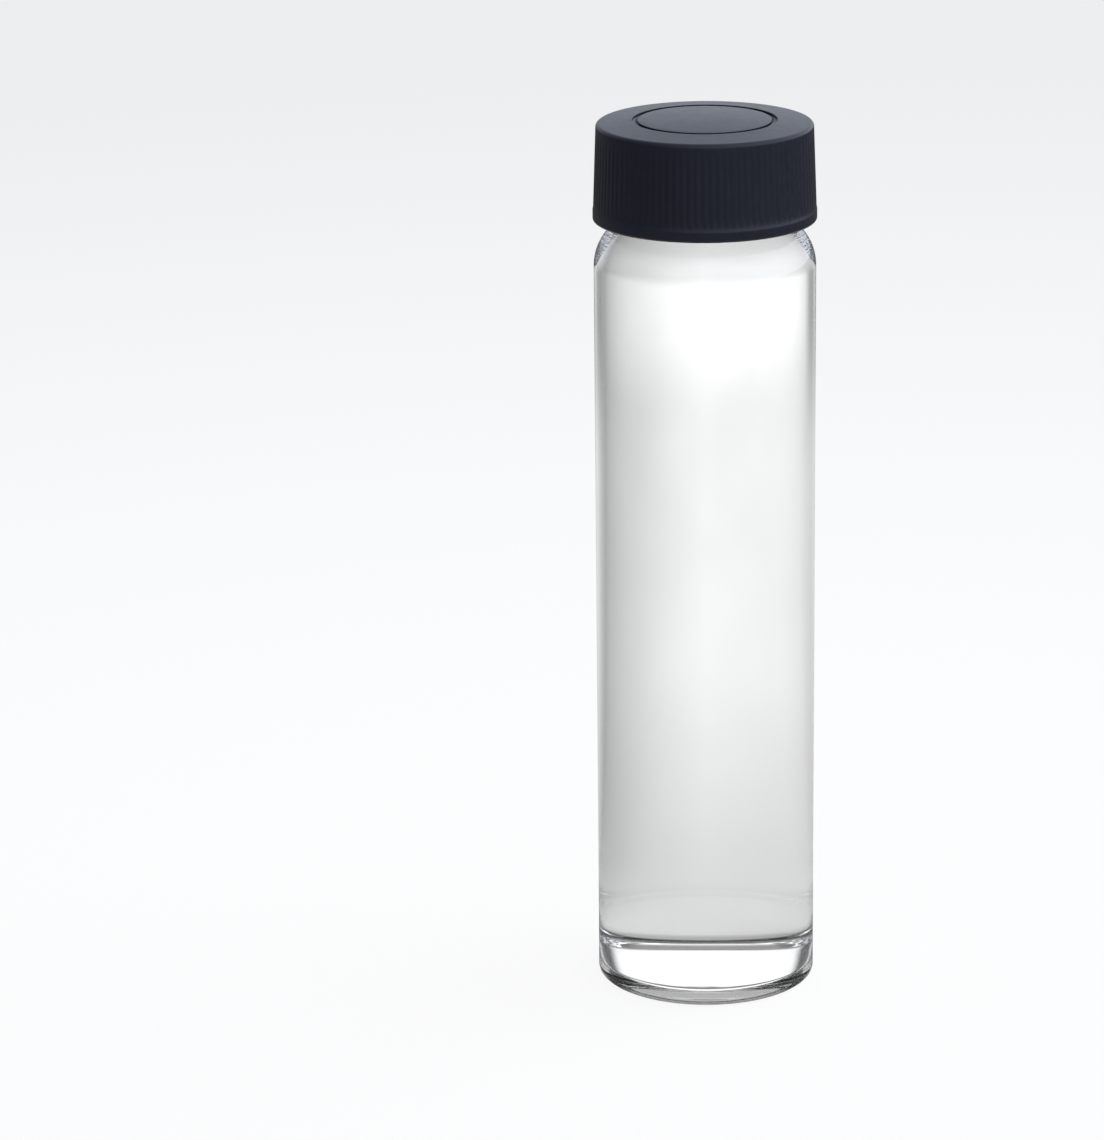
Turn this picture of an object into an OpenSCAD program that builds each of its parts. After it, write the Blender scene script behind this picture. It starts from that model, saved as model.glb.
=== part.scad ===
// Glass sample vial with a ribbed screw cap and a soft sealing disc inside the cap.
// The origin is the centre of the base, on the plane that the vial stands on, and +Z
// is the vial's axis. The cap is screwed down on its disc.

/* [Glass body] */
// Outside diameter of the straight wall
body_d = 27.25; // [27:0.05:27.6]
// Height of the glass, from its standing ring to its rim
glass_h = 108.4; // [60:0.1:140]
// Thickness of the straight wall
wall_t = 1.2; // [1:0.1:1.6]
// Thickness of the floor at its edge, over the standing ring
floor_t = 1.65; // [1.5:0.05:3]
// Height that the inside of the floor rises to its middle
floor_crown_h = 0.85; // [0.3:0.05:1.2]
// Rounding of the outside bottom edge
heel_r = 0.9; // [0.6:0.1:2]
// Rounding of the inside bottom corner
floor_corner_r = 0.5; // [0.3:0.1:3]
// Height of the shallow hollow under the base
push_up_h = 0.75; // [0.1:0.05:0.8]
// Width of the flat ring that the vial stands on
foot_w = 0.7; // [0.5:0.1:2.5]
// Outside rounding of the shoulder
shoulder_r = 6.2; // [5.6:0.1:7.5]

/* [Neck and its thread] */
// Height of the neck above the top of the shoulder's curve
neck_h = 10; // [9.4:0.1:12]
// Outside diameter of the neck, at the root of its thread
neck_d = 21.1; // [20.8:0.1:21.4]
// Bore of the neck
bore_d = 16.4; // [14:0.1:16.4]
// Diameter over the crest of the glass thread
thread_d = 23.5; // [23.2:0.1:23.7]
// Rise of both threads in one turn
pitch = 3.175; // [3.1:0.005:3.25]
// Turns of thread on the neck
neck_turns = 1.3; // [1:0.1:1.4]
// Distance from the rim down to the upper end of the glass thread
thread_drop = 1.2; // [0.8:0.1:1.6]

/* [Cap] */
// Height of the cap
cap_h = 12.65; // [12.4:0.05:12.9]
// Diameter of the skirt at its top edge
cap_top_d = 26.6; // [26.3:0.1:27]
// Diameter of the skirt at its foot, above the band
cap_foot_d = 27.3; // [27:0.05:27.4]
// Diameter of the plain band round the cap's opening
band_d = 27.45; // [27.35:0.05:27.9]
// Height of the band
band_h = 1.25; // [1:0.05:2]
// Inside diameter of the skirt
cap_bore_d = 24; // [23.9:0.05:24.2]
// Diameter inside the crest of the cap's thread
cap_crest_d = 21.7; // [21.6:0.1:22]
// Turns of thread in the cap
cap_turns = 1.4; // [1.2:0.1:1.5]
// Thickness of the cap's top
cap_top_t = 1.25; // [1.1:0.05:1.6]
// Height that the top rises from its edge to its middle
crown_h = 0.7; // [0.5:0.05:1]
// Part of that height that the disc inside the ring groove is domed by
disc_crown_h = 0.35; // [0.05:0.05:0.45]
// Outside diameter of the ring groove in the top
groove_d = 17.7; // [14:0.1:20]
// Width of the ring groove
groove_w = 0.67; // [0.5:0.01:1]
// Depth of the ring groove
groove_depth = 0.35; // [0.2:0.05:0.5]
// Number of grip flutes round the skirt
flute_count = 96; // [60:4:120]
// Depth of a flute
flute_depth = 0.08; // [0.06:0.02:0.2]

/* [Sealing disc] */
// Thickness of the disc
liner_t = 1; // [0.6:0.1:1.2]
// Diameter of the disc
liner_d = 23.4; // [22.6:0.1:23.6]

/* [Hidden] */

$fn = 96;
arc_steps = 8;      // straight stretches in a rounded corner
turn_steps = 40;    // straight stretches in a turn of thread
bury = 0.3;         // how far a ridge's root reaches into its wall
run_out = 45;       // degrees over which a thread fades at each end

body_r = body_d / 2;
inner_r = body_r - wall_t;
neck_r = neck_d / 2;
bore_r = bore_d / 2;
rim_out_r = 0.8;    // rounding of the rim, outside
rim_in_r = 0.5;     // rounding of the rim, inside
throat_r = 0.8;     // rounding where the bore opens into the body
root_fillet_r = 0.8; // rounding between the shoulder and the neck

shoulder_x = body_r - shoulder_r;
shoulder_z = glass_h - neck_h - shoulder_r;
inner_shoulder_r = shoulder_r - wall_t;
foot_in_r = body_r - heel_r - foot_w;
floor_r = inner_r - floor_corner_r;

// The roundings at the foot of the neck, outside and inside, run into the shoulder's curves
fillet_x = neck_r + root_fillet_r;
fillet_rise = sqrt(pow(shoulder_r + root_fillet_r, 2) - pow(fillet_x - shoulder_x, 2));
fillet_a = atan2(fillet_rise, fillet_x - shoulder_x);
throat_x = bore_r + throat_r;
throat_rise = sqrt(pow(inner_shoulder_r + throat_r, 2) - pow(throat_x - shoulder_x, 2));
throat_a = atan2(throat_rise, throat_x - shoulder_x);

neck_ridge = [2, 1.5, 0.8];   // width of the glass ridge at its root, halfway up and at its crest
cap_ridge = [1.5, 1.1, 0.6];  // the same for the ridge in the cap
neck_thread_z = glass_h - thread_drop - neck_ridge[0] / 2 - pitch * neck_turns;
cap_thread_a = -60;           // degrees from the start of the glass thread to that of the cap's
cap_thread_z = neck_thread_z + pitch * (cap_thread_a / 360 - 1 / 2);

liner_z = glass_h;
seat_z = liner_z + liner_t;
cap_z1 = seat_z + cap_top_t;
cap_z0 = cap_z1 - cap_h;
edge_z = cap_z1 - crown_h;
band_top_z = cap_z0 + band_h;
edge_round_r = 0.5;   // rounding of the cap's top edge
lip_round = 0.25;     // bevels at the cap's opening
groove_out_r = groove_d / 2;
groove_in_r = groove_out_r - groove_w;
flute_r = 0.24;       // radius of a flute's round bottom
band_slope_h = 0.4;   // height over which the skirt widens to the band
flute_foot_gap = 0.5; // plain stretch between the band and the flutes

// Points on an arc about c, from angle a0 to angle a1
function arc(c, r, a0, a1) =
    [for (i = [0:arc_steps]) let (a = a0 + (a1 - a0) * i / arc_steps) c + r * [cos(a), sin(a)]];

// Points on a shallow dome, from its middle at height h down to its edge at radius r
function dome(h, r) =
    let (big_r = (r * r + h * h) / (2 * h))
    [for (i = [0:arc_steps]) let (x = r * i / arc_steps) [x, h - big_r + sqrt(big_r * big_r - x * x)]];

// Outline of a ridge's section, as [radius, height] pairs. walls holds the radius of its root,
// of its half height and of its crest, and widths the ridge's width at each.
function ridge_outline(walls, widths) =
    let (last = len(walls) - 1,
         order = walls[0] < walls[last] ? [0:last] : [last:-1:0],
         half = [for (i = order) [walls[i], widths[i] / 2]])
    concat([for (p = half) [p[0], -p[1]]], [for (i = [last:-1:0]) [half[i][0], half[i][1]]]);

// A helical ridge that rises out of a round wall and sinks back into it at its two ends
module thread_ridge(wall_r, crest_r, widths, z0, turns, a0) {
    steps = ceil(turns * turn_steps);
    out = sign(crest_r - wall_r);
    root = wall_r - out * bury;
    rings = [for (i = [0:steps])
        let (turned = 360 * turns * i / steps,
             fade = min(1, turned / run_out, (360 * turns - turned) / run_out),
             crest = wall_r - out * bury / 2 + (crest_r - wall_r + out * bury / 2) * fade,
             outline = ridge_outline([root, (root + crest) / 2, crest], widths))
        [for (p = outline) [p[0] * cos(a0 + turned), p[0] * sin(a0 + turned),
                            z0 + pitch * turned / 360 + p[1]]]];
    n = len(rings[0]);
    sides = [for (i = [0:steps - 1], j = [0:n - 1])
        let (a = i * n + j, b = i * n + (j + 1) % n)
        each [[a, b, b + n], [a, b + n, a + n]]];
    first_end = [for (j = [n - 1:-1:0]) j];
    last_end = [for (j = [0:n - 1]) steps * n + j];
    polyhedron([for (ring = rings) each ring], concat(sides, [first_end, last_end]));
}

// The blown glass: hollow base, straight wall, round shoulder and threaded neck
module glass_vial() {
    color([0.86, 0.91, 0.92, 0.4]) union() {
        rotate_extrude() polygon(concat(
            dome(push_up_h, foot_in_r),
            arc([body_r - heel_r, heel_r], heel_r, -90, 0),
            arc([shoulder_x, shoulder_z], shoulder_r, 0, fillet_a),
            arc([fillet_x, shoulder_z + fillet_rise], root_fillet_r, fillet_a + 180, 180),
            arc([neck_r - rim_out_r, glass_h - rim_out_r], rim_out_r, 0, 90),
            arc([bore_r + rim_in_r, glass_h - rim_in_r], rim_in_r, 90, 180),
            arc([throat_x, shoulder_z + throat_rise], throat_r, 180, throat_a + 180),
            arc([shoulder_x, shoulder_z], inner_shoulder_r, throat_a, 0),
            arc([floor_r, floor_t + floor_corner_r], floor_corner_r, 0, -90),
            [for (i = [arc_steps:-1:0]) dome(floor_crown_h, floor_r)[i] + [0, floor_t]]));
        thread_ridge(neck_r, thread_d / 2, neck_ridge, neck_thread_z, neck_turns, 0);
    }
}

// The cap's turned shape, without its thread and flutes
module cap_shell() {
    disc_z = cap_z1 - disc_crown_h;
    rotate_extrude() polygon(concat(
        [for (p = dome(disc_crown_h, groove_in_r)) p + [0, disc_z]],
        [[groove_in_r, disc_z - groove_depth], [groove_out_r, disc_z - groove_depth]],
        [[groove_out_r, disc_z]],
        arc([cap_top_d / 2 - edge_round_r, edge_z - edge_round_r], edge_round_r, 90, 0),
        [[cap_foot_d / 2, band_top_z + band_slope_h]],
        [[band_d / 2, band_top_z], [band_d / 2, cap_z0 + lip_round]],
        [[band_d / 2 - lip_round, cap_z0], [cap_bore_d / 2 + lip_round, cap_z0]],
        [[cap_bore_d / 2, cap_z0 + lip_round], [cap_bore_d / 2, seat_z], [0, seat_z]]));
}

// One flute, cut along the taper of the skirt, up to its rounded top edge
module flute() {
    top = [cap_top_d / 2, edge_z - edge_round_r];
    foot = [cap_foot_d / 2, band_top_z + flute_foot_gap];
    lean = atan2(foot[0] - top[0], top[1] - foot[1]);
    translate([foot[0] + flute_r - flute_depth, 0, foot[1]])
        rotate([0, -lean, 0]) cylinder(h = norm(top - foot), r = flute_r, $fn = 16);
}

// The moulded cap, screwed down
module screw_cap() {
    color([0.12, 0.13, 0.16]) union() {
        difference() {
            cap_shell();
            for (i = [0:flute_count - 1]) rotate(360 / flute_count * i) flute();
        }
        thread_ridge(cap_bore_d / 2, cap_crest_d / 2, cap_ridge, cap_thread_z, cap_turns, cap_thread_a);
    }
}

// The soft disc that seals on the rim
module cap_liner() {
    color([0.93, 0.93, 0.9]) translate([0, 0, liner_z]) cylinder(h = liner_t, d = liner_d);
}

glass_vial();
screw_cap();
cap_liner();
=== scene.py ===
import math

import bpy
from mathutils import Matrix, Vector


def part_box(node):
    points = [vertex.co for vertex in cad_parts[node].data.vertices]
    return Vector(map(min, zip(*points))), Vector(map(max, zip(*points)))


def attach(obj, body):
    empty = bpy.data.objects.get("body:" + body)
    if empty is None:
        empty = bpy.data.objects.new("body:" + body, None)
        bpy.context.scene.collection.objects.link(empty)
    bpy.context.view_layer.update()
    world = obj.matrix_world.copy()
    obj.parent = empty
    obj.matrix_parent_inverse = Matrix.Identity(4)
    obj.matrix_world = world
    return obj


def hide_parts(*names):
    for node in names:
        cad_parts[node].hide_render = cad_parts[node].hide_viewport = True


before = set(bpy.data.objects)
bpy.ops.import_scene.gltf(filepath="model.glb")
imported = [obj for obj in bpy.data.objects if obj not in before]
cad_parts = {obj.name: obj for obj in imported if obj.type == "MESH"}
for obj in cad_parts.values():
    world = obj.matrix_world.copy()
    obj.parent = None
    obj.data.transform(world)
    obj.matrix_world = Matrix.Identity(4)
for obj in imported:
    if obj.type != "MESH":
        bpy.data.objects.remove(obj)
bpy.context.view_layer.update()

# A glass sample vial full of clear liquid, with its ribbed black screw cap and the soft
# disc that seals it. Outlines are in millimetres. Each of their points has a radius, a
# height, its share of the thread and of the flutes, and 1 where the second material goes.

MM = 0.001


def top_of(node):
    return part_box(node)[1].z / MM


def bottom_of(node):
    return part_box(node)[0].z / MM


def radius_of(node):
    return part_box(node)[1].x / MM


# ---------------------------------------------------------------- sizes, in millimetres

BODY_R = radius_of("glass_vial")
RIM_Z = top_of("glass_vial")
CAP_TOP_Z = top_of("screw_cap")
CAP_FOOT_Z = bottom_of("screw_cap")
BAND_R = radius_of("screw_cap")
LINER_R = radius_of("cap_liner")
LINER_Z0 = bottom_of("cap_liner")
LINER_Z1 = top_of("cap_liner")

WALL_T = 1.2
FLOOR_T = 1.65
FLOOR_CROWN_H = 0.85
HEEL_R = 0.9
FLOOR_CORNER_R = 0.5
PUSH_UP_H = 0.75
FOOT_W = 0.7
SHOULDER_R = 6.2
NECK_H = 10.0
NECK_R = 10.55
BORE_R = 8.2
ROOT_FILLET_R = 0.8
THROAT_R = 0.8
RIM_OUT_R = 0.8
RIM_IN_R = 0.5
LIQUID_GAP = 0.005
LIQUID_Z = 101.0

PITCH = 3.175
NECK_THREAD_Z = RIM_Z - 2.2 - PITCH * 1.3
CAP_THREAD_TURN = -1 / 6
CAP_THREAD_Z = NECK_THREAD_Z + PITCH * (CAP_THREAD_TURN - 1 / 2)
CAP_TOP_R = 13.3
CAP_SKIRT_R = 13.65
BAND_H = 1.25
CROWN_H = 0.7
DISC_CROWN_H = 0.35
GROOVE_OUT_R = 8.85
GROOVE_W = 0.67
GROOVE_DEPTH = 0.35
CAP_BORE_R = 12.0
FLUTES = 96


# ---------------------------------------------------------------- outlines

def arc(x, z, r, start, end, steps=10):
    """Points on an arc about (x, z), from one angle to another, in degrees."""
    turns = [math.radians(start + (end - start) * i / steps) for i in range(steps + 1)]
    return [(x + r * math.cos(a), z + r * math.sin(a)) for a in turns]


def dome(z, height, r, steps=10):
    """Points on a shallow dome, from its middle down to its edge at height z."""
    big_r = (r * r + height * height) / (2 * height)
    radii = [r * i / steps for i in range(steps + 1)]
    return [(x, z + height - big_r + math.sqrt(big_r * big_r - x * x)) for x in radii]


def straight(a, b, longest=3.0, guard=0.06):
    """Points between two corners, with one close to each, so that shading stays true."""
    length = math.dist(a, b)
    if length < 3 * guard:
        return []
    steps = max(1, math.ceil((length - 2 * guard) / longest))
    ways = [guard + (length - 2 * guard) * i / steps for i in range(steps + 1)]
    return [tuple(p + (q - p) * w / length for p, q in zip(a, b)) for w in ways]


def joined(*runs, longest=3.0):
    """One outline from runs of points, with straight stretches filled in between them."""
    points = []
    for run in runs:
        if points and math.dist(points[-1], run[0]) > 1e-6:
            points += straight(points[-1], run[0], longest)
        elif points:
            run = run[1:]
        points += run
    return points


def with_relief(points, thread=None, flutes=None, lined=None):
    """Adds each point's share of the thread and of the flutes, and its second material."""
    none = lambda p: 0.0
    return [(*p, (thread or none)(p), (flutes or none)(p), (lined or none)(p)) for p in points]


SHOULDER_X = BODY_R - SHOULDER_R
SHOULDER_Z = RIM_Z - NECK_H - SHOULDER_R


def touching(x, reach):
    """Height and angle of an arc centred at radius x that runs into the shoulder's arc."""
    rise = math.sqrt(reach ** 2 - (x - SHOULDER_X) ** 2)
    return SHOULDER_Z + rise, math.degrees(math.atan2(rise, x - SHOULDER_X))


def hollow(gap=0.0):
    """The inside from the middle of the floor up to the bore, drawn in by a gap."""
    corner_x = BODY_R - WALL_T - FLOOR_CORNER_R
    throat_x = BORE_R + THROAT_R
    throat_z, throat_a = touching(throat_x, SHOULDER_R - WALL_T + THROAT_R)
    return joined(
        dome(FLOOR_T + gap, FLOOR_CROWN_H, corner_x),
        arc(corner_x, FLOOR_T + FLOOR_CORNER_R, FLOOR_CORNER_R - gap, -90, 0, 20),
        arc(SHOULDER_X, SHOULDER_Z, SHOULDER_R - WALL_T - gap, 0, throat_a, 20),
        arc(throat_x, throat_z, THROAT_R + gap, throat_a + 180, 180),
    )


def glass_outline():
    fillet_x = NECK_R + ROOT_FILLET_R
    fillet_z, fillet_a = touching(fillet_x, SHOULDER_R + ROOT_FILLET_R)
    outside = joined(
        dome(0, PUSH_UP_H, BODY_R - HEEL_R - FOOT_W),
        arc(BODY_R - HEEL_R, HEEL_R, HEEL_R, -90, 0, 20),
        arc(SHOULDER_X, SHOULDER_Z, SHOULDER_R, 0, fillet_a, 20),
        arc(fillet_x, fillet_z, ROOT_FILLET_R, fillet_a + 180, 180),
    )
    neck_top = RIM_Z - RIM_OUT_R
    neck_foot = outside[-1][1]
    rows = math.ceil((neck_top - neck_foot) / 0.16)
    neck = [(NECK_R, neck_foot + (neck_top - neck_foot) * i / rows) for i in range(1, rows)]
    inside = joined(
        arc(NECK_R - RIM_OUT_R, neck_top, RIM_OUT_R, 0, 90),
        arc(BORE_R + RIM_IN_R, RIM_Z - RIM_IN_R, RIM_IN_R, 90, 180),
        hollow()[::-1],
    )
    wet = lambda p: 1.0 if p[1] < LIQUID_Z else 0.0
    return (
        with_relief(outside)
        + with_relief(neck, thread=lambda p: 1.0)
        + with_relief(inside, lined=wet)
    )


def liquid_outline():
    meniscus_r = 0.9
    top_r = BORE_R - LIQUID_GAP
    side = joined(hollow(LIQUID_GAP), [(top_r, LIQUID_Z + meniscus_r)])
    surface = joined(
        arc(top_r - meniscus_r, LIQUID_Z + meniscus_r, meniscus_r, 0, -90),
        [(0.0, LIQUID_Z)],
    )
    return with_relief(side[:-1]) + with_relief(surface, lined=lambda p: 1.0)


def liner_outline():
    edge = 0.15
    return with_relief(joined(
        [(0.0, LINER_Z0)],
        arc(LINER_R - edge, LINER_Z0 + edge, edge, -90, 0, 6),
        arc(LINER_R - edge, LINER_Z1 - edge, edge, 0, 90, 6),
        [(0.0, LINER_Z1)],
    ))


def cap_outline():
    edge_z = CAP_TOP_Z - CROWN_H
    disc_z = CAP_TOP_Z - DISC_CROWN_H
    groove_in_r = GROOVE_OUT_R - GROOVE_W
    groove_z = disc_z - GROOVE_DEPTH
    band_top = CAP_FOOT_Z + BAND_H
    edge_r = 0.5
    bevel = 0.06
    lip = 0.25
    slope_h = 0.4
    fade_top, fade_foot = 2.0, 0.8
    top = joined(
        dome(disc_z, DISC_CROWN_H, groove_in_r - bevel),
        arc(groove_in_r - bevel, disc_z - bevel, bevel, 90, 0, 4),
        [(groove_in_r, groove_z), (GROOVE_OUT_R, groove_z)],
        arc(GROOVE_OUT_R + bevel, disc_z - bevel, bevel, 180, 90, 4),
        arc(CAP_TOP_R - edge_r, edge_z - edge_r, edge_r, 84, 0, 8),
    )
    skirt_foot = (CAP_SKIRT_R, band_top + slope_h)
    skirt_top = top[-1]
    ways = (0.02, 0.05, 0.1, 0.15, 0.2, 0.4, 0.6, 0.8, 0.85, 0.9, 0.95)
    skirt = [tuple(p + (q - p) * w for p, q in zip(skirt_top, skirt_foot)) for w in ways]
    lower = joined(
        [skirt_foot],
        [(BAND_R, band_top)],
        arc(BAND_R - lip, CAP_FOOT_Z + lip, lip, 0, -90, 8),
        arc(CAP_BORE_R + lip, CAP_FOOT_Z + lip, lip, 270, 180, 8),
    )
    seat_z = LINER_Z1
    rows = math.ceil((seat_z - lower[-1][1]) / 0.2)
    foot_z = lower[-1][1]
    bore = [(CAP_BORE_R, foot_z + (seat_z - foot_z) * i / rows) for i in range(1, rows)]
    seat = joined([(CAP_BORE_R, seat_z), (0.0, seat_z)])

    def flute_share(p):
        below_top = (edge_z - edge_r - p[1]) / fade_top
        above_foot = (p[1] - band_top - slope_h) / fade_foot
        return min(1.0, max(0.0, below_top)) * min(1.0, max(0.0, above_foot))

    return (
        with_relief(top)
        + with_relief(skirt, flutes=flute_share)
        + with_relief(lower)
        + with_relief(bore, thread=lambda p: 1.0)
        + with_relief(seat)
    )


# ---------------------------------------------------------------- the lathe tree

def socket_of(tree, kind, *values, **settings):
    """Adds a node, links or sets its inputs in order, and returns its first output."""
    node = tree.nodes.new(kind)
    for key, value in settings.items():
        setattr(node, key, value)
    live = [s for s in node.inputs if s.enabled]
    for socket, value in zip(live, values):
        if value is None:
            continue
        if isinstance(value, bpy.types.NodeSocket):
            tree.links.new(value, socket)
        else:
            socket.default_value = value
    return next(s for s in node.outputs if s.enabled)


def math_of(tree, operation, *values):
    return socket_of(tree, "ShaderNodeMath", *values, operation=operation)


LATHE_INPUTS = [
    ("Steps Round", "NodeSocketInt", 256),
    ("Thread Height", "NodeSocketFloat", 0.0),
    ("Thread Start", "NodeSocketFloat", 0.0),
    ("Thread Angle", "NodeSocketFloat", 0.0),
    ("Thread Turns", "NodeSocketFloat", 1.0),
    ("Thread Pitch", "NodeSocketFloat", PITCH * MM),
    ("Thread Root Width", "NodeSocketFloat", 0.002),
    ("Thread Crest Width", "NodeSocketFloat", 0.001),
    ("Thread Run Out", "NodeSocketFloat", 0.125),
    ("Flute Count", "NodeSocketInt", 1),
    ("Flute Depth", "NodeSocketFloat", 0.0),
    ("Flute Width", "NodeSocketFloat", 0.5),
    ("Material", "NodeSocketMaterial", None),
    ("Lining", "NodeSocketMaterial", None),
]


def lathe_tree():
    """Turns an outline round the Z axis, with a helical thread and grip flutes on it."""
    tree = bpy.data.node_groups.new("turned_piece", "GeometryNodeTree")
    face = tree.interface
    face.new_socket("Outline", in_out="INPUT", socket_type="NodeSocketGeometry")
    for label, kind, value in LATHE_INPUTS:
        made = face.new_socket(label, in_out="INPUT", socket_type=kind)
        if value is not None:
            made.default_value = value
    face.new_socket("Geometry", in_out="OUTPUT", socket_type="NodeSocketGeometry")
    given = tree.nodes.new("NodeGroupInput").outputs
    m = lambda operation, *values: math_of(tree, operation, *values)

    # a grid with a row for each point of the outline and a column for each step round
    count = socket_of(tree, "GeometryNodeAttributeDomainSize", given["Outline"])
    columns = m("ADD", given["Steps Round"], 1.0)
    grid = socket_of(tree, "GeometryNodeMeshGrid", 1.0, 1.0, count, columns)
    index = socket_of(tree, "GeometryNodeInputIndex")
    row = m("FLOOR", m("DIVIDE", m("ADD", index, 0.5), columns))
    column = m("SUBTRACT", index, m("MULTIPLY", row, columns))
    turn = m("DIVIDE", column, given["Steps Round"])

    def sampled(name, kind):
        if name == "position":
            value = socket_of(tree, "GeometryNodeInputPosition")
        else:
            value = socket_of(tree, "GeometryNodeInputNamedAttribute", name, data_type=kind)
        return socket_of(tree, "GeometryNodeSampleIndex", given["Outline"], value, row, data_type=kind)

    spot = tree.nodes.new("ShaderNodeSeparateXYZ")
    tree.links.new(sampled("position", "FLOAT_VECTOR"), spot.inputs[0])
    radius, height = spot.outputs["X"], spot.outputs["Z"]

    # the thread: how far this point is from the nearest turn of the helix
    way = m("SUBTRACT", turn, given["Thread Angle"])
    way = m("SUBTRACT", way, m("FLOOR", way))
    rise = m("DIVIDE", m("SUBTRACT", height, given["Thread Start"]), given["Thread Pitch"])
    turned = m("ADD", way, m("ROUND", m("SUBTRACT", rise, way)))
    gap = m("MULTIPLY", m("ABSOLUTE", m("SUBTRACT", rise, turned)), given["Thread Pitch"])
    ends = m("MINIMUM", turned, m("SUBTRACT", given["Thread Turns"], turned))
    fade = socket_of(tree, "ShaderNodeMapRange", ends, 0.0, given["Thread Run Out"], 0.0, 1.0,
                     interpolation_type="SMOOTHSTEP")
    root = m("MULTIPLY", given["Thread Root Width"], 0.5)
    crest = m("MULTIPLY", given["Thread Crest Width"], 0.5)
    ridge = socket_of(tree, "ShaderNodeMapRange", gap, root, crest, 0.0, 1.0,
                      interpolation_type="SMOOTHSTEP")
    thread = m("MULTIPLY", m("MULTIPLY", ridge, fade), given["Thread Height"])
    thread = m("MULTIPLY", thread, sampled("thread", "FLOAT"))

    # the flutes: round-bottomed grooves, evenly spaced
    share = m("FRACT", m("MULTIPLY", turn, given["Flute Count"]))
    aside = m("ABSOLUTE", m("SUBTRACT", m("MULTIPLY", share, 2.0), 1.0))
    inner = m("MINIMUM", m("DIVIDE", aside, given["Flute Width"]), 1.0)
    bowl = m("SQRT", m("SUBTRACT", 1.0, m("MULTIPLY", inner, inner)))
    flute = m("MULTIPLY", m("MULTIPLY", bowl, given["Flute Depth"]), sampled("flutes", "FLOAT"))

    out = m("ADD", radius, m("SUBTRACT", thread, flute))
    angle = m("MULTIPLY", turn, math.tau)
    place = socket_of(tree, "ShaderNodeCombineXYZ", m("MULTIPLY", out, m("COSINE", angle)),
                      m("MULTIPLY", out, m("SINE", angle)), height)
    lined = m("GREATER_THAN", sampled("lined", "FLOAT"), 0.5)
    shape = socket_of(tree, "GeometryNodeStoreNamedAttribute", grid, True, "lined", lined,
                      data_type="FLOAT", domain="POINT")
    shape = socket_of(tree, "GeometryNodeSetPosition", shape, True, place)
    shape = socket_of(tree, "GeometryNodeMergeByDistance", shape, True, 1e-6)
    shape = socket_of(tree, "GeometryNodeSetShadeSmooth", shape, True, True)
    shape = socket_of(tree, "GeometryNodeRealizeInstances", shape)
    shape = socket_of(tree, "GeometryNodeSetMaterial", shape, True, given["Material"])
    share = socket_of(tree, "GeometryNodeInputNamedAttribute", "lined", data_type="FLOAT")
    whole = m("GREATER_THAN", share, 0.99)
    shape = socket_of(tree, "GeometryNodeSetMaterial", shape, whole, given["Lining"])
    result = tree.nodes.new("NodeGroupOutput")
    tree.links.new(shape, result.inputs[0])
    return tree


def outwards(outline):
    """The outline in the order that makes the turned faces point outwards."""
    pairs = zip(outline, outline[1:] + outline[:1])
    area = sum(a[0] * b[1] - b[0] * a[1] for a, b in pairs)
    return outline[::-1] if area > 0 else outline


def turned(name, outline, material, lining=None, **sizes):
    """A piece turned from an outline, as a plain mesh in place."""
    outline = outwards(outline)
    mesh = bpy.data.meshes.new(name)
    points = [(p[0] * MM, 0.0, p[1] * MM) for p in outline]
    mesh.from_pydata(points, [(i, i + 1) for i in range(len(points) - 1)], [])
    for label, place in (("thread", 2), ("flutes", 3), ("lined", 4)):
        layer = mesh.attributes.new(label, "FLOAT", "POINT")
        layer.data.foreach_set("value", [p[place] for p in outline])
    piece = bpy.data.objects.new(name, mesh)
    bpy.context.scene.collection.objects.link(piece)
    lathe = piece.modifiers.new("lathe", "NODES")
    lathe.node_group = LATHE
    sizes = {k.replace("_", " ").title(): v for k, v in sizes.items()}
    sizes |= {"Material": material, "Lining": lining or material}
    for item in LATHE.interface.items_tree:
        if item.in_out == "INPUT" and item.name in sizes:
            lathe[item.identifier] = sizes[item.name]
    ready = piece.evaluated_get(bpy.context.evaluated_depsgraph_get())
    made = bpy.data.meshes.new_from_object(ready)
    piece.modifiers.clear()
    made.materials.pop(index=0)
    piece.data = made
    bpy.data.meshes.remove(mesh)
    made.name = name
    return piece


LATHE = lathe_tree()


# ---------------------------------------------------------------- materials

GLASS_IOR = 1.5
LIQUID_IOR = 1.333
# painted shade in the vial glass: how grey its heel and the glass just under the cap are made
HEEL_SHADE = 0.4
SHOULDER_SHADE = 0.6


def new_material(name):
    material = bpy.data.materials.new(name)
    material.use_nodes = True
    return material, material.node_tree, material.node_tree.nodes["Principled BSDF"]


def pattern(tree, scale, stretch=(1, 1, 1), detail=2.0):
    """Noise from 0 to 1 on the piece's own coordinates, with so many grains in a metre."""
    coordinates = tree.nodes.new("ShaderNodeTexCoord")
    place = socket_of(tree, "ShaderNodeMapping", coordinates.outputs["Object"])
    place.node.inputs["Scale"].default_value = stretch
    return socket_of(tree, "ShaderNodeTexNoise", place, scale, detail)


def between(tree, share, low, high):
    """A number that goes from low to high as the share goes from 0 to 1."""
    return socket_of(tree, "ShaderNodeMapRange", share, 0.0, 1.0, low, high)


def step_up(tree, value, low, high, dark, light):
    """A smooth step from dark to light as the value goes from low to high."""
    return socket_of(tree, "ShaderNodeMapRange", value, low, high, dark, light,
                     interpolation_type="SMOOTHSTEP")


def mixed(tree, share, one, other):
    """A colour that goes from one to the other as the share goes from 0 to 1."""
    mix = tree.nodes.new("ShaderNodeMix")
    mix.data_type = "RGBA"
    mix.clamp_factor = False
    tree.links.new(share, mix.inputs["Factor"])
    mix.inputs["A"].default_value = (*one, 1)
    mix.inputs["B"].default_value = (*other, 1)
    return mix.outputs["Result"]


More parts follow.
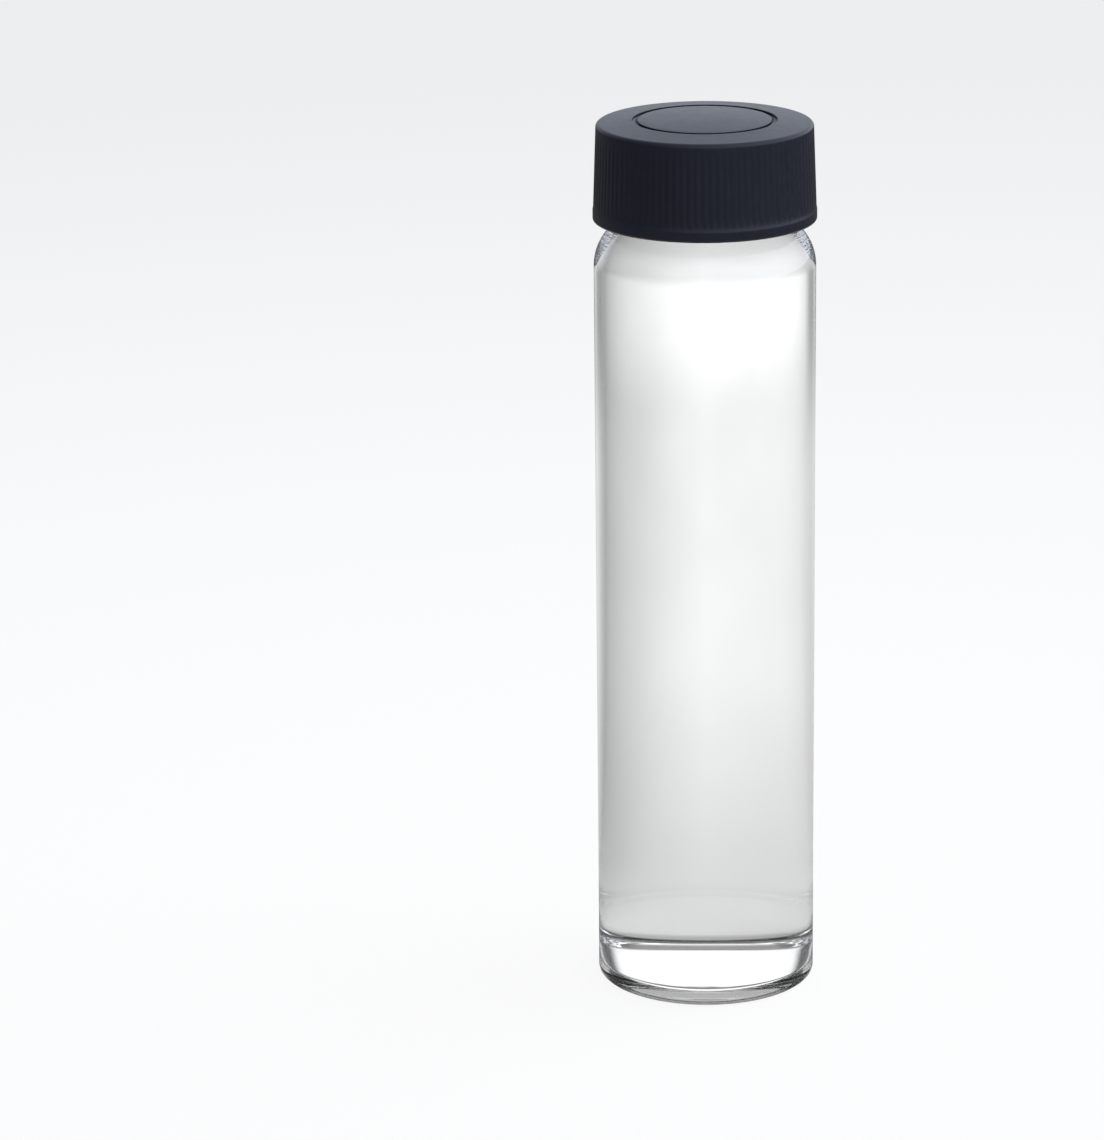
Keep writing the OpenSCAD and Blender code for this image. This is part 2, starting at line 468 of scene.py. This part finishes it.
def bumped(tree, skin, height, depth):
    bump = tree.nodes.new("ShaderNodeBump")
    bump.inputs["Distance"].default_value = depth
    tree.links.new(height, bump.inputs["Height"])
    tree.links.new(bump.outputs["Normal"], skin.inputs["Normal"])


def position(tree):
    """The X, Y and Z of a point on the piece's own coordinates."""
    coordinates = tree.nodes.new("ShaderNodeTexCoord")
    spot = tree.nodes.new("ShaderNodeSeparateXYZ")
    tree.links.new(coordinates.outputs["Object"], spot.inputs[0])
    return spot.outputs


def glass_painted_shade(tree):
    """Painted shade in the glass's colour: greyer low in its thick heel, where it stands on the table,
    and in the shade under the cap.
    """
    z = position(tree)["Z"]
    heel = step_up(tree, z, 1.7 * MM, 2.3 * MM, HEEL_SHADE, 1.0)
    shoulder = step_up(tree, z, (CAP_FOOT_Z - 3.5) * MM, (CAP_FOOT_Z - 1) * MM, 1.0, SHOULDER_SHADE)
    neck = step_up(tree, z, CAP_FOOT_Z * MM, (CAP_FOOT_Z + 1) * MM, 0.0, 1.0)
    return math_of(tree, "MULTIPLY", heel, math_of(tree, "MAXIMUM", shoulder, neck))


def clear(name, ior, tint, waves, depth, tone=None):
    """A clear material with faint waves in its surface and a trace of colour in it, and painted shade
    in that colour where a tone is given.
    """
    material, tree, skin = new_material(name)
    skin.inputs["Transmission Weight"].default_value = 1.0
    skin.inputs["Roughness"].default_value = 0.0
    skin.inputs["IOR"].default_value = ior
    colour = mixed(tree, pattern(tree, 40.0), tint, (1.0, 1.0, 1.0))
    # painted shade: the colour greyed by height
    if tone:
        grey = mixed(tree, tone(tree), (0.0, 0.0, 0.0), (1.0, 1.0, 1.0))
        colour = socket_of(tree, "ShaderNodeVectorMath", colour, grey, operation="MULTIPLY")
    tree.links.new(colour, skin.inputs["Base Color"])
    bumped(tree, skin, pattern(tree, waves, (1.0, 1.0, 0.12)), depth)
    return material


def vial_glass():
    return clear("vial_glass", GLASS_IOR, (0.988, 0.99, 0.992), 140.0, 0.000012, glass_painted_shade)


def wet_glass():
    """The inner wall where the liquid wets it, which bends light less."""
    return clear("wet_glass", GLASS_IOR / LIQUID_IOR, (0.994, 0.995, 0.996), 110.0, 0.00001)


def liquid_side():
    """The side of the liquid lies on the wet glass, which has already bent the light."""
    return clear("liquid_side", 1.0, (0.99, 0.995, 1.0), 60.0, 0.000001)


def liquid_surface():
    return clear("liquid_surface", LIQUID_IOR, (0.99, 0.995, 1.0), 60.0, 0.000002)


def black_plastic():
    """Moulded cap plastic: a fine matt grain, slightly uneven in colour and gloss."""
    material, tree, skin = new_material("black_plastic")
    cloud = pattern(tree, 120.0)
    tree.links.new(mixed(tree, cloud, (0.003, 0.0042, 0.0125), (0.005, 0.0062, 0.0175)),
                   skin.inputs["Base Color"])
    tree.links.new(between(tree, pattern(tree, 900.0), 0.27, 0.36), skin.inputs["Roughness"])
    bumped(tree, skin, pattern(tree, 5200.0, detail=4.0), 0.000006)
    return material


def soft_foam():
    """White polyethylene foam: a closed skin with shallow cells."""
    material, tree, skin = new_material("soft_foam")
    cloud = pattern(tree, 250.0)
    tree.links.new(mixed(tree, cloud, (0.74, 0.74, 0.71), (0.80, 0.80, 0.78)),
                   skin.inputs["Base Color"])
    tree.links.new(between(tree, cloud, 0.55, 0.75), skin.inputs["Roughness"])
    bumped(tree, skin, pattern(tree, 2600.0, detail=3.0), 0.00004)
    return material


# ---------------------------------------------------------------- the pieces

glass = turned(
    "glass_body", glass_outline(), vial_glass(), wet_glass(),
    thread_height=1.2 * MM, thread_start=NECK_THREAD_Z * MM, thread_turns=1.3,
    thread_root_width=2.2 * MM, thread_crest_width=0.6 * MM,
)
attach(glass, "vial")
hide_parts("glass_vial")

liquid = turned("liquid_fill", liquid_outline(), liquid_side(), liquid_surface())
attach(liquid, "vial")

cap = turned(
    "ribbed_cap", cap_outline(), black_plastic(), steps_round=672,
    thread_height=-1.15 * MM, thread_start=CAP_THREAD_Z * MM, thread_angle=CAP_THREAD_TURN,
    thread_turns=1.4,
    thread_root_width=1.6 * MM, thread_crest_width=0.5 * MM,
    flute_count=FLUTES, flute_depth=0.06 * MM, flute_width=0.5,
)
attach(cap, "cap")
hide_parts("screw_cap")

liner = turned("sealing_disc", liner_outline(), soft_foam())
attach(liner, "liner")
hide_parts("cap_liner")


# ---------------------------------------------------------------- the stage

# how bright the table looks through the glass, as painted shade, by the angle round the vial in
# degrees, and
# less strongly half a turn on: it darkens to one side, and beyond that it is light again
TABLE_SHADE_TONES = [
    (-90, 0.93), (-66, 0.80), (-52, 0.62), (-42, 0.72), (-34, 0.84), (-20, 0.93), (0, 0.95),
    (8, 0.84), (17, 0.69), (28, 0.54), (34, 0.45), (40, 0.30), (47, 0.42), (60, 0.8), (90, 0.93),
]
BACK_SHARE = 0.4
# painted shadow near the vial and painted light far from it, on the table as seen through the glass
NEAR_SHADOW_TONE = 0.74
FAR_LIGHT_TONE = 1.3
# a painted contact shadow on the table under the foot, out to a radius in metres
UNDER_FOOT_SHADOW = 0.03
UNDER_SHADOW_R = 0.0148
# painted shade in a far streak to each side in front
EDGE_SHADE = 0.55
CLOUD_SCALE = 11.0

# the room as it is seen through the glass: light ahead and to the sides, dark between
# them (less so behind), with one narrow dark band all round
SKY_TONE = 1.15
SIDE_TONE = 0.05
SIDE_START, SIDE_END = 0.17, 0.23
LIGHT_START, LIGHT_END = 0.29, 0.34
BAND_TONE = 0.15
BAND_LOW, BAND_HIGH = 0.54, 0.62

# the light of the room, a little stronger from the right
AIR = (0.69, 0.745, 0.855)
AIR_LEAN = 0.72


def ramp(tree, share, stops):
    """A grey by a share from 0 to 1, through stops of share and grey."""
    colours = tree.nodes.new("ShaderNodeValToRGB")
    tree.links.new(share, colours.inputs[0])
    elements = colours.color_ramp.elements
    while len(elements) < len(stops):
        elements.new(1.0)
    for element, (place, grey) in zip(elements, stops):
        element.position = place
        element.color = (grey, grey, grey, 1)
    return colours.outputs[0]


def off_axis(tree, x, y):
    """How far a heading is from straight ahead or behind, from -0.5 to 0.5 of a half turn."""
    half_turns = math_of(tree, "DIVIDE", math_of(tree, "ARCTAN2", x, y), math.pi)
    return math_of(tree, "SUBTRACT", half_turns, math_of(tree, "ROUND", half_turns))


def floor_material():
    """A pale table: white in front of the camera, with the object's soft shadow on it, and painted
    shade and light where it is seen through the glass or in a reflection.
    """
    material, tree, skin = new_material("pale_floor")
    m = lambda operation, *values: math_of(tree, operation, *values)
    skin.inputs["Base Color"].default_value = (0.85, 0.85, 0.85, 1)
    skin.inputs["Roughness"].default_value = 1.0
    skin.inputs["Specular IOR Level"].default_value = 0.0

    x, y = position(tree)["X"], position(tree)["Y"]
    away = m("SQRT", m("ADD", m("MULTIPLY", x, x), m("MULTIPLY", y, y)))
    side = off_axis(tree, x, y)
    aside = m("ABSOLUTE", side)

    # through the glass: painted shade and painted light on the table
    stops = [(angle / 180 + 0.5, tone) for angle, tone in TABLE_SHADE_TONES]
    front = step_up(tree, m("DIVIDE", y, away), -0.3, 0.3, 0.0, 1.0)
    dark = m("SUBTRACT", 1.0, ramp(tree, m("ADD", side, 0.5), stops))
    dark = m("MULTIPLY", dark, between(tree, front, BACK_SHARE, 1.0))
    through = m("SUBTRACT", 1.0, dark)
    # painted shadow round the foot
    through = m("MULTIPLY", through, step_up(tree, away, 0.01, 0.15, NEAR_SHADOW_TONE, 1.0))
    # painted light far off in front
    far = m("MULTIPLY", step_up(tree, away, 0.27, 0.36, 0.0, FAR_LIGHT_TONE - 1.0), front)
    through = m("MULTIPLY", through, m("ADD", 1.0, far))
    # painted shade in a far streak to each side
    edge = m("MULTIPLY", step_up(tree, aside, 0.21, 0.27, 0.0, EDGE_SHADE),
             step_up(tree, aside, LIGHT_START, LIGHT_END, 1.0, 0.0))
    edge = m("MULTIPLY", edge, step_up(tree, away, 0.22, 0.36, 0.0, 1.0))
    edge = m("MULTIPLY", edge, front)
    through = m("MULTIPLY", through, m("SUBTRACT", 1.0, edge))
    through = m("MULTIPLY", through, between(tree, pattern(tree, CLOUD_SCALE), 0.90, 1.10))
    # painted contact shadow under the foot
    through = m("MULTIPLY", through, step_up(tree, away, UNDER_SHADOW_R, UNDER_SHADOW_R + 0.0015, UNDER_FOOT_SHADOW, 1.0))

    # in a reflection, a painted reflection: pale near the vial, dark farther off, and a painted shadow
    # at its foot; in front of the camera, painted light, whitest round the vial and greyer farther off
    painted_reflection = step_up(tree, away, 0.24, 0.36, 0.65, 0.12)
    painted_reflection = m("MULTIPLY", painted_reflection, step_up(tree, away, 0.014, 0.045, 0.1, 1.0))
    painted_light_pool = step_up(tree, away, 0.02, 0.65, 1.0, 0.86)

    path = tree.nodes.new("ShaderNodeLightPath")
    camera, glossy, clear_ray = (
        path.outputs[f"Is {kind} Ray"] for kind in ("Camera", "Glossy", "Transmission")
    )
    tone = m("ADD", m("MULTIPLY", camera, painted_light_pool), m("MULTIPLY", clear_ray, through))
    only_glossy = m("MULTIPLY", glossy, m("SUBTRACT", 1.0, clear_ray))
    tone = m("ADD", tone, m("MULTIPLY", only_glossy, painted_reflection))
    glow = socket_of(tree, "ShaderNodeEmission", tone, 1.0)
    seen = m("MAXIMUM", m("MULTIPLY", camera, 0.9), m("MAXIMUM", glossy, clear_ray))
    blend = socket_of(tree, "ShaderNodeMixShader", seen, skin.outputs[0], glow)
    tree.links.new(blend, tree.nodes["Material Output"].inputs["Surface"])
    return material


def floor():
    mesh = bpy.data.meshes.new("floor")
    half = 3.0
    z = -0.00002
    corners = [(-half, -half, z), (half, -half, z), (half, half, z), (-half, half, z)]
    mesh.from_pydata(corners, [], [(0, 1, 2, 3)])
    mesh.materials.append(floor_material())
    piece = bpy.data.objects.new("floor", mesh)
    bpy.context.scene.collection.objects.link(piece)


def studio_air():
    """A white room for the camera and through glass, and a plain grey one for the rest."""
    world = bpy.data.worlds.new("studio_air")
    bpy.context.scene.world = world
    world.use_nodes = True
    tree = world.node_tree
    m = lambda operation, *values: math_of(tree, operation, *values)
    path = tree.nodes.new("ShaderNodeLightPath")
    camera, clear_ray = path.outputs["Is Camera Ray"], path.outputs["Is Transmission Ray"]
    heading = position(tree)
    aside = m("ABSOLUTE", off_axis(tree, heading["X"], heading["Y"]))
    through = step_up(tree, aside, SIDE_START, SIDE_END, SKY_TONE, SIDE_TONE)
    through = m("MAXIMUM", through, step_up(tree, aside, LIGHT_START, LIGHT_END, 0.0, SKY_TONE))
    dark = m("SUBTRACT", SKY_TONE, through)
    dark = m("MULTIPLY", dark, step_up(tree, heading["Y"], -0.3, 0.3, BACK_SHARE, 1.0))
    through = m("SUBTRACT", SKY_TONE, dark)
    soft = 0.02
    band = m("MAXIMUM", step_up(tree, heading["Z"], BAND_LOW, BAND_LOW + soft, 1.0, BAND_TONE),
             step_up(tree, heading["Z"], BAND_HIGH, BAND_HIGH + soft, BAND_TONE, 1.0))
    through = m("MULTIPLY", through, band)
    seen = m("ADD", m("MULTIPLY", camera, 0.86), m("MULTIPLY", clear_ray, through))
    light = m("MULTIPLY", m("SUBTRACT", m("SUBTRACT", 1.0, camera), clear_ray),
              m("ADD", m("MULTIPLY", heading["X"], AIR_LEAN), 1.0))
    tint = mixed(tree, light, (0.0, 0.0, 0.0), AIR)
    grey = mixed(tree, seen, (0.0, 0.0, 0.0), (1.0, 1.0, 1.0))
    total = socket_of(tree, "ShaderNodeVectorMath", tint, grey, operation="ADD")
    tree.links.new(total, tree.nodes["Background"].inputs["Color"])


def softbox():
    """One large soft lamp above and to the right."""
    data = bpy.data.lights.new("softbox", "AREA")
    data.shape = "RECTANGLE"
    data.size = 0.7
    data.size_y = 0.6
    data.energy = 3.4
    lamp = bpy.data.objects.new("softbox", data)
    bpy.context.scene.collection.objects.link(lamp)
    lamp.visible_glossy = False
    place = Vector((0.55, 0.15, 0.85))
    aim = (Vector((0.0, 0.0, 0.06)) - place).to_track_quat("-Z", "Y")
    lamp.matrix_world = Matrix.Translation(place) @ aim.to_matrix().to_4x4()


def camera():
    data = bpy.data.cameras.new("camera")
    data.sensor_width = 36.0
    data.lens = 157.92
    data.clip_end = 20.0
    eye = bpy.data.objects.new("camera", data)
    bpy.context.scene.collection.objects.link(eye)
    place = Matrix.Translation(Vector((0.0, -0.59773, 0.23388)))
    turn = Matrix.Rotation(math.radians(1.8345), 4, "Z")
    tilt = Matrix.Rotation(math.radians(90 - 16.8189), 4, "X")
    roll = Matrix.Rotation(math.radians(-0.616), 4, "Z")
    eye.matrix_world = place @ turn @ tilt @ roll
    bpy.context.scene.camera = eye


floor()
studio_air()
softbox()
camera()

scene = bpy.context.scene
scene.view_settings.view_transform = "Standard"
scene.cycles.max_bounces = 200
scene.cycles.transmission_bounces = 200
scene.cycles.glossy_bounces = 200
